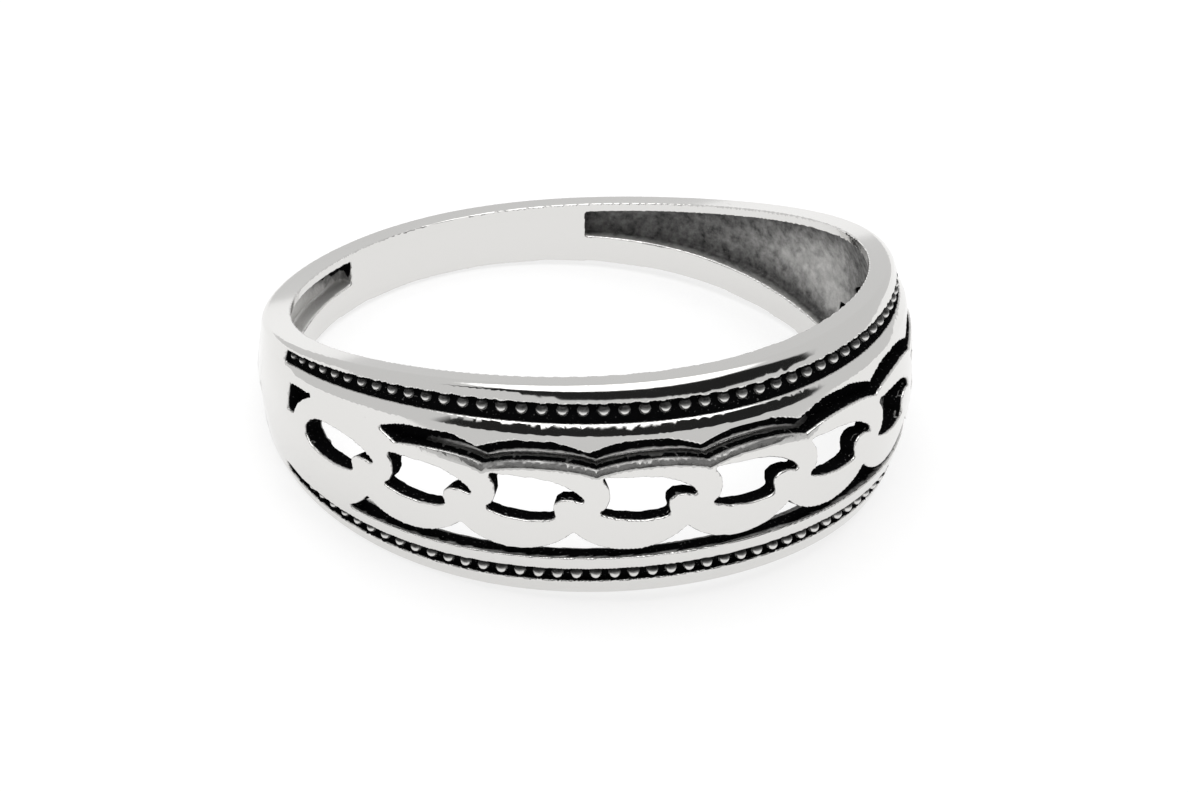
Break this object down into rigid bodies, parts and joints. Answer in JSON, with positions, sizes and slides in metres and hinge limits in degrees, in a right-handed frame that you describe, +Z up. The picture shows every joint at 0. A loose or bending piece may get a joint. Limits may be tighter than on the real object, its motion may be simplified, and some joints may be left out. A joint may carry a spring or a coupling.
{
  "type": "finger ring",
  "caption": "Domed band ring that flares from a narrow plain shank to a wide openwork front, with a flat curb chain between two rails and a beaded groove above and below it.",
  "frame": {"origin": "centre of the bounding box in X and Y, at the lowest points, where the ring rests on the ground", "axes": "+Z up; the ring lies on its lower edge, its patterned front toward -Y and its plain shank toward +Y; the finger axis leans 8.75 degrees from +Z toward +Y"},
  "size_m": [0.0204, 0.0204, 0.0073],
  "materials": {
    "silver": "polished silver, blackened in the recesses"
  },
  "bodies": {
    "root": {"ring_band": "silver"}
  },
  "joints": []
}
